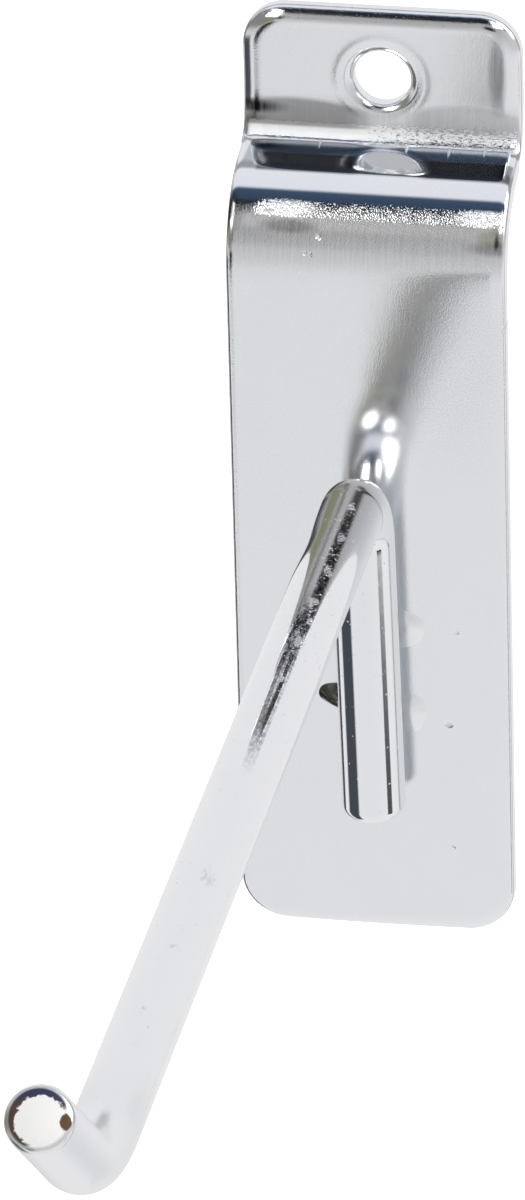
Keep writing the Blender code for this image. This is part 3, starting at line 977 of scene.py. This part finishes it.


# Plated wire: mirror plating, pitted in clusters past the bend, with flecks down the arm, a painted dark
# reflection along its top, and rough cut ends painted white as a highlight, with a ring of painted reflection at
# the tip

wireFinish = {
    "tone": (0.915, 0.918, 0.93),
    "stainedShare": 0.97,         # of the tone, in the faint stains
    "smooth": 0.07,
    # noises: stretch each way and detail
    "drawn": ((3.4, 3.4, 0.10), 3.0),
    "ripple": ((0.5, 0.5, 0.30), 2.0),
    "stains": ((0.35, 0.35, 0.12), 3.0),
    "broken": ((2.3, 2.3, 2.3), 4.0),
    "speckle": ((4.5, 4.5, 1.8), 2.0),
    "worn": ((2.2, 2.2, 1.1), 3.0),
    # clusters of pits: turn round the wire, place along it, reach across and along
    "clusters": ((253, 40.9, 0.62, 0.9), (250, 47.0, 0.55, 1.3), (249, 53.8, 0.62, 1.4), (252, 59.9, 0.6, 1.2),
                 (251, 67.8, 0.6, 1.6), (246, 63.5, 0.4, 0.8), (254, 75.0, 0.3, 1.2)),
    "clusterEdge": (0.74, 0.05),
    "clusterShares": (0.30, 0.10),    # of the marks, and of the line that joins them
    "joinLine": ((42.0, 72.0, 6.0), (-1.5, 0.0, 0.5)),   # bands along the wire and across it
    "pitSize": 0.24,
    "pitStretch": (1.0, 1.0, 0.55),
    "pitWall": (0.12, 0.10),
    # single specks: spacing, share of the cells that hold one, size
    "specks": (0.55, 0.34, 0.09),
    "speckZone": ((38.0, 82.0, 6.0), (1.4, 0.8)),    # band along the wire, and how near its top
    "stray": (2.6, 0.12, 0.16),
    "flecks": ((259, 121.3, 0.6, 0.8), (253, 124.7, 0.9, 0.6), (268, 136.0, 0.7, 1.2), (246, 112.0, 1.2, 2.0)),
    "fleckEdge": (0.52, 0.12),
    # painted dark reflection along the top, narrowing and paling away from the plate
    "streak": ((60.0, 90.0, 4.0), (-1.33, 0.10)),    # band along the wire, right edge and its ease
    "streakLeft": (-0.019, 1.34, 0.07),              # left edge: slope, place at the leg's end, ease
    "streakStart": ((42.0, 62.0, 5.0), (-1.40, -0.50, 0.16)),
    "streakPales": (72.0, 6.0),
    "streakTones": ((0.05, 0.042, 0.042), (0.42, 0.42, 0.44)),
    "streakBreaks": (0.5, 0.08, 0.60, 0.36),         # edge and ease of its speckle, its share and the rest
    "sparedByPits": -0.95,
    # cut end at the tip
    "faceEdge": (0.2, 0.15),      # outside the flat of the cut, and its ease
    # painted highlight: the cut faces are whiter than the plating
    "faceTone": (1.0, 0.99, 0.97),
    "facetSize": 0.9,
    "tipStarts": (0.75, 0.1),
    "legStarts": (0.5, 0.1),
    "tipWhite": ((-0.25, 0.25), 2.2, 0.09),      # middle, radius and ease of the torn part of the cut face
    "tearing": (1.1, -0.55),
    "tipRing": (2.55, 0.13),                     # painted reflection in a ring round it: outer radius and soft edge
    "ringFacing": ((0.75, -0.65), -1.0, 0.35),   # only to the upper left
    "ringTones": ((0.075, 0.080, 0.16), (0.15, 0.10, 0.075)),    # blue at the top, brown at the left
    "ringTurns": (-1.4, 0.8),
    "notch": ((-2.30, 0.20, -0.3), (0.70, 1.05, 2.0)),           # middle to the left, down and back, reach
    "notchTone": (0.19, 0.12, 0.07),
    "notchEdge": (0.36, 0.14),
    "notchTearing": (1.5, 0.05),
    # dull and a little blue behind the leg, from the heat of the welding: how far round, up and from the end
    "heated": ((-0.6, 0.5), (31.0, 3.0), (1.5, 0.5)),
    # share and tone of the faintest layers
    "layers": {
        "heated": (0.8, (0.40, 0.44, 0.48)),
        "flecks": (0.26, (0.42, 0.41, 0.40)),
        "stray": (0.30, (0.50, 0.50, 0.50)),
    },
    # roughness and height added by each, and roughness by two steps down the arm: place, ease and amount
    "roughnessOf": {"cut": 0.45, "heated": 0.22, "flecks": 0.25, "clusters": 0.04},
    "depths": {"drawn": 0.0009, "ripple": 0.002, "pits": 0.14, "specks": -0.03, "stray": -0.012, "facets": 0.05},
    "duller": ((125.0, 12.0, 0.06), (146.0, 5.0, 0.13)),
}


def onWire(turn, along, across, reach):
    # a mark's middle and reach in the wire's own places
    radius = wire["across"] / 2
    angle = math.radians(turn)
    return (radius * math.cos(angle), radius * math.sin(angle), along), (across, across, reach)


def makePlatedWire(total):
    material, shader, place, (u, v, along) = startMetal("plated wire", "barPlace")
    finish = wireFinish
    names = ("drawn", "ripple", "stains", "broken", "speckle", "worn")
    drawn, ripple, stains, broken, speckle, worn = (noiseOf(place, finish[name]) for name in names)
    onTop = mathOf("LESS_THAN", v, 0.0)

    # pits with thin walls, in clusters joined by a line
    clusters = marksOf(place, [onWire(*mark) for mark in finish["clusters"]])
    lineAlong, lineAcross = finish["joinLine"]
    joinLine = productOf(bandOf(along, *lineAlong), bandOf(u, *lineAcross), onTop)
    markShare, lineShare = finish["clusterShares"]
    clusters = sumOf(productOf(clusters, markShare), productOf(joinLine, lineShare), broken)
    clusters = risingEdge(clusters, *finish["clusterEdge"])
    pits = addNode(treeOf(place), "ShaderNodeTexVoronoi", feature="DISTANCE_TO_EDGE")
    feed(pits.inputs["Vector"], vectorOf("MULTIPLY", place, finish["pitStretch"]))
    pits.inputs["Scale"].default_value = 1.0 / finish["pitSize"]
    walls = fallingEdge(pits.outputs["Distance"], *finish["pitWall"])
    speckAlong, speckTop = finish["speckZone"]
    pitted = productOf(bandOf(along, *speckAlong), risingEdge(productOf(v, -1.0), *speckTop))
    specks = productOf(specksOf(place, finish["specks"]), pitted)
    stray = specksOf(place, finish["stray"])
    flecks = productOf(marksOf(place, [onWire(*mark) for mark in finish["flecks"]]),
                       risingEdge(worn, *finish["fleckEdge"]))

    # the painted dark reflection along the top and its narrow start
    streakAlong, streakRight = finish["streak"]
    slope, leftAt, leftEase = finish["streakLeft"]
    fromLeft = mathOf("SUBTRACT", u, mathOf("MULTIPLY_ADD", along, slope, leftAt))
    streak = productOf(risingEdge(u, *streakRight), bandOf(along, *streakAlong), onTop,
                       fallingEdge(fromLeft, 0.0, leftEase))
    startAlong, startAcross = finish["streakStart"]
    start = productOf(bandOf(u, *startAcross), bandOf(along, *startAlong), onTop)
    edge, ease, share, rest = finish["streakBreaks"]
    streakReflection = productOf(mathOf("MAXIMUM", streak, start),
                        mathOf("MULTIPLY_ADD", clusters, finish["sparedByPits"], 1.0),
                        mathOf("MULTIPLY_ADD", risingEdge(speckle, edge, ease), share, rest))
    streakReflectionTone = mixColours(risingEdge(along, *finish["streakPales"]), *finish["streakTones"])

    # cut ends: a torn face painted white as a highlight, and at the tip a ring of painted reflection and a notch
    beyond, ease = finish["faceEdge"]
    onFace = fallingEdge(lengthOf(u, v), wire["across"] / 2 - wire["tipEndRound"] + beyond, ease)
    tipDepth, tipEase = finish["tipStarts"]
    atTip = risingEdge(along, total - tipDepth, tipEase)
    face = sumOf(productOf(onFace, atTip), productOf(onFace, fallingEdge(along, *finish["legStarts"])))
    (middleU, middleV), tornReach, tornEase = finish["tipWhite"]
    torn = sumOf(lengthOf(sumOf(u, -middleU), sumOf(v, -middleV)),
                 mathOf("MULTIPLY_ADD", broken, *finish["tearing"]))
    # painted reflection of the room in a ring round the cut face, blue above and brown to the left
    (facingU, facingV), facingFrom, facingEase = finish["ringFacing"]
    toUpperLeft = sumOf(productOf(u, facingU), productOf(v, facingV))
    ring = productOf(atTip, risingEdge(torn, tornReach, tornEase),
                     risingEdge(toUpperLeft, facingFrom, facingEase),
                     fallingEdge(lengthOf(u, v), *finish["tipRing"]))
    ringTone = mixColours(risingEdge(v, *finish["ringTurns"]), *finish["ringTones"])
    (notchU, notchV, notchBack), notchReach = finish["notch"]
    notch = productOf(marksOf(place, [((notchU, notchV, total + notchBack), notchReach)]),
                      mathOf("MULTIPLY_ADD", broken, *finish["notchTearing"]))
    notch = productOf(risingEdge(notch, *finish["notchEdge"]), atTip)
    behind, below, above = finish["heated"]
    heated = productOf(fallingEdge(v, *behind), fallingEdge(along, *below), risingEdge(along, *above))

    colour = stainedTone(stains, finish["tone"], finish["stainedShare"])
    colour = mixColours(streakReflection, colour, streakReflectionTone)
    colour = mixColours(face, colour, finish["faceTone"])
    colour = mixColours(ring, colour, ringTone)
    colour = mixColours(notch, colour, finish["notchTone"])
    colour = layColours(colour, {"heated": heated, "flecks": flecks, "stray": stray}, finish["layers"])
    cut = mathOf("MAXIMUM", face, mathOf("MAXIMUM", ring, notch))
    rough = {"cut": cut, "heated": heated, "flecks": flecks, "clusters": clusters}
    duller = (productOf(risingEdge(along, step, ease), added) for step, ease, added in finish["duller"])
    roughness = sumOf(finish["smooth"], weighted(rough, finish["roughnessOf"]), *duller)
    raised = {"drawn": drawn, "ripple": ripple, "pits": productOf(walls, clusters), "specks": specks,
              "stray": stray, "facets": productOf(grainOf(place, finish["facetSize"]), face)}
    finishMetal(shader, colour, roughness, weighted(raised, finish["depths"]))
    return material


# Weld metal: lit and shaded copies, with painted highlight on the right of the leg and painted shade on its left

weldFinish = {
    "stains": ((0.9, 0.9, 0.9), 3.0),     # stretch each way and detail
    "stainedShare": 0.85,
    "lumpSize": 0.7,
    # tone, roughness and depth of the lumps; the white tone on the right is painted highlight, the dark one on
    # the left painted shade
    "bright": ((1.0, 1.0, 1.0), 0.20, 0.004),
    "shadedCopy": ((0.15, 0.15, 0.125), 0.25, 0.03),
}


def makeWeldMetal(name, finish):
    material, shader, place, _ = startMetal(name, "beadPlace")
    tone, smooth, lumpDepth = finish
    stains = noiseOf(place, weldFinish["stains"])
    colour = stainedTone(stains, tone, weldFinish["stainedShare"])
    height = productOf(grainOf(place, weldFinish["lumpSize"]), lumpDepth)
    finishMetal(shader, colour, smooth, height)
    return material


wireLength = max(vertex.vector[2] for vertex in hookWire.data.attributes["barPlace"].data)
platedSheet = makePlatedSheet()
platedWire = makePlatedWire(wireLength)
litWeld = makeWeldMetal("lit weld", weldFinish["bright"])
shadedWeld = makeWeldMetal("shaded weld", weldFinish["shadedCopy"])

dressed = [
    (backPlate, platedSheet, "plated_sheet", "back_plate"),
    (hookWire, platedWire, "plated_wire", "hook_rod"),
]
for node, piece in beadPieces.items():
    # the left beads take the painted shade copy, the right ones the painted highlight copy
    dressed.append((piece, shadedWeld if node.endswith("left") else litWeld, "weld_bead", node))
for piece, material, slot, node in dressed:
    piece.data.materials.append(material)
    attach(piece, "root")
    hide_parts(node)
print("plating and weld metal on", len(dressed), "pieces")


# Floor, world and camera

studio = {
    "floorDrop": 60.0,        # floor below the lowest point
    "floorHalf": 3000.0,
    "floorTone": (0.85, 0.85, 0.85),
    "floorRough": 0.9,
    "floorGlow": 0.55,        # lifts the floor to white where the camera sees it
    # brightness and colour of the room along a swing from under the front, over the top and down behind
    "swingTones": (
        (-180, (0.86, 0.86, 0.87)), (-60, (0.87, 0.87, 0.88)), (-28, (0.81, 0.815, 0.83)),
        (-20, (0.74, 0.74, 0.75)), (-12, (0.67, 0.67, 0.68)), (0, (0.60, 0.60, 0.61)),
        (10, (0.54, 0.54, 0.55)), (24, (0.49, 0.49, 0.495)), (44, (0.38, 0.375, 0.37)),
        (47.5, (0.018, 0.018, 0.021)), (58, (0.017, 0.020, 0.026)), (61, (0.035, 0.060, 0.10)),
        (74, (0.050, 0.085, 0.15)), (78, (0.80, 0.82, 0.88)), (109, (0.83, 0.84, 0.88)),
        (115, (0.34, 0.35, 0.36)), (124, (0.34, 0.35, 0.36)), (128, (0.83, 0.84, 0.88)),
        (180, (0.86, 0.86, 0.87)),
    ),
    # other parts of the room: turn to the right of the plate's front, height over the horizon, soft edge, tone
    "patches": (
        ((-95.0, -34.0), (0.0, 48.0), 8.0, (0.24, 0.24, 0.25)),
        ((34.0, 110.0), (-10.0, 34.0), 8.0, (0.62, 0.62, 0.64)),
        ((-92.0, -46.0), (-62.0, -14.0), 4.0, (0.06, 0.07, 0.085)),
        ((61.0, 80.0), (-31.0, -26.1), 0.5, (0.05, 0.052, 0.062)),
        ((-30.0, -15.0), (-24.0, -3.0), 1.5, (0.012, 0.012, 0.016)),
        ((-118.0, -80.0), (-24.0, 14.0), 5.0, (0.21, 0.20, 0.13)),
        ((-44.0, -19.0), (-1.0, 21.0), 3.0, (0.24, 0.25, 0.165)),
        ((-18.5, -13.0), (8.0, 30.0), 1.2, (0.07, 0.065, 0.065)),
        ((104.0, 140.0), (-14.0, 46.0), 6.0, (0.36, 0.37, 0.39)),
        ((-138.0, -122.0), (-10.0, 46.0), 6.0, (0.42, 0.43, 0.45)),
        ((112.0, 152.0), (-60.0, -20.0), 5.0, (0.55, 0.56, 0.60)),
        ((-152.0, -116.0), (-60.0, -20.0), 5.0, (0.42, 0.44, 0.48)),
        ((-43.0, -22.0), (28.5, 50.0), 2.5, (6.5, 6.5, 6.5)),
        ((64.0, 110.0), (20.0, 62.0), 4.0, (3.0, 3.0, 3.0)),
        ((22.0, 42.0), (38.0, 58.0), 3.0, (5.0, 5.0, 5.0)),
    ),
    # unlit spot round the viewpoint: turn, height, reach, soft edge, tone
    "cameraGap": (10.0, 27.5, 9.0, 3.0, (0.035, 0.031, 0.031)),
}


def makeFloor():
    half = studio["floorHalf"]
    level = cadBox[0][2] / mm - studio["floorDrop"]
    x, y = np.meshgrid(np.linspace(-half, half, 3), np.linspace(-half, half, 3))
    points = np.stack([x, y, np.full_like(x, level)], axis=-1).reshape(-1, 3)
    floor = makePiece("floor", points, [gridQuads(3, 3)], points, "floorPlace")
    material = bpy.data.materials.new("pale floor")
    material.use_nodes = True
    tree = material.node_tree
    shader = tree.nodes["Principled BSDF"]
    shader.inputs["Base Color"].default_value = (*studio["floorTone"], 1.0)
    shader.inputs["Roughness"].default_value = studio["floorRough"]
    shader.inputs["Specular IOR Level"].default_value = 0.0
    shader.inputs["Emission Color"].default_value = (1.0, 1.0, 1.0, 1.0)
    seen = addNode(tree, "ShaderNodeLightPath").outputs["Is Camera Ray"]
    feed(shader.inputs["Emission Strength"], productOf(seen, studio["floorGlow"]))
    floor.data.materials.append(material)
    floor.visible_glossy = False


makeFloor()


def makeWorld():
    # tone by the swing of a direction, then patches by its turn and height, and white for the camera
    world = bpy.data.worlds.new("studio")
    bpy.context.scene.world = world
    world.use_nodes = True
    tree = world.node_tree
    way = addNode(tree, "ShaderNodeSeparateXYZ")
    feed(way.inputs[0], addNode(tree, "ShaderNodeTexCoord").outputs["Generated"])
    x, y, z = way.outputs
    toDegrees = math.degrees(1.0)
    front = productOf(y, -1.0)
    turn = productOf(mathOf("ARCTAN2", x, front), toDegrees)
    height = productOf(mathOf("ARCSINE", z), toDegrees)
    swing = productOf(mathOf("ARCTAN2", z, front), toDegrees)
    ramp = addNode(tree, "ShaderNodeValToRGB")
    stops = ramp.color_ramp.elements
    (_, firstTone), *between, (_, lastTone) = studio["swingTones"]
    for angle, swingTone in between:
        stops.new((angle + 180.0) / 360.0).color = (*swingTone, 1.0)
    stops[0].color = (*firstTone, 1.0)
    stops[-1].color = (*lastTone, 1.0)
    feed(ramp.inputs[0], mathOf("MULTIPLY_ADD", swing, 1.0 / 360.0, 0.5))
    tone = ramp.outputs["Color"]
    for turns, heights, ease, patchTone in studio["patches"]:
        mask = productOf(bandOf(turn, *turns, ease), bandOf(height, *heights, ease))
        tone = mixColours(mask, tone, patchTone)
    gapTurn, gapHeight, reach, ease, gapTone = studio["cameraGap"]
    away = lengthOf(sumOf(turn, -gapTurn), sumOf(height, -gapHeight))
    tone = mixColours(fallingEdge(away, reach, ease), tone, gapTone)
    seen = addNode(tree, "ShaderNodeLightPath").outputs["Is Camera Ray"]
    tone = mixColours(seen, tone, (1.0, 1.0, 1.0))
    feed(tree.nodes["Background"].inputs["Color"], tone)


makeWorld()

viewOf = {
    "azimuth": 11.2,          # to the viewer's right of the plate's front
    "elevation": 27.475,
    "roll": -1.514,
    "distance": 1075.54,      # from the point looked at
    "lookAt": (-10.782, 0.0, -14.712),
    "focalPixels": 11416.06,
    "frameHeight": 1200,
    "sensor": 36.0,
    "clip": (0.01, 20.0),     # nearest and farthest drawn, in metres
}


def makeCamera():
    az, el, roll = (math.radians(viewOf[key]) for key in ("azimuth", "elevation", "roll"))
    back = Vector((math.sin(az) * math.cos(el), -math.cos(az) * math.cos(el), math.sin(el)))
    right = Vector((0.0, 0.0, 1.0)).cross(back).normalized()
    up = back.cross(right)
    rolledRight = right * math.cos(roll) + up * math.sin(roll)
    rolledUp = up * math.cos(roll) - right * math.sin(roll)
    data = bpy.data.cameras.new("camera")
    data.sensor_width = viewOf["sensor"]
    data.lens = viewOf["focalPixels"] / viewOf["frameHeight"] * viewOf["sensor"]
    data.clip_start, data.clip_end = viewOf["clip"]
    camera = bpy.data.objects.new("camera", data)
    bpy.context.scene.collection.objects.link(camera)
    stand = (Vector(viewOf["lookAt"]) + back * viewOf["distance"]) * mm
    turned = Matrix((rolledRight, rolledUp, back)).transposed().to_4x4()
    camera.matrix_world = Matrix.Translation(stand) @ turned
    bpy.context.scene.camera = camera


makeCamera()
bpy.context.scene.view_settings.view_transform = "Standard"
print("floor, room and camera in place")
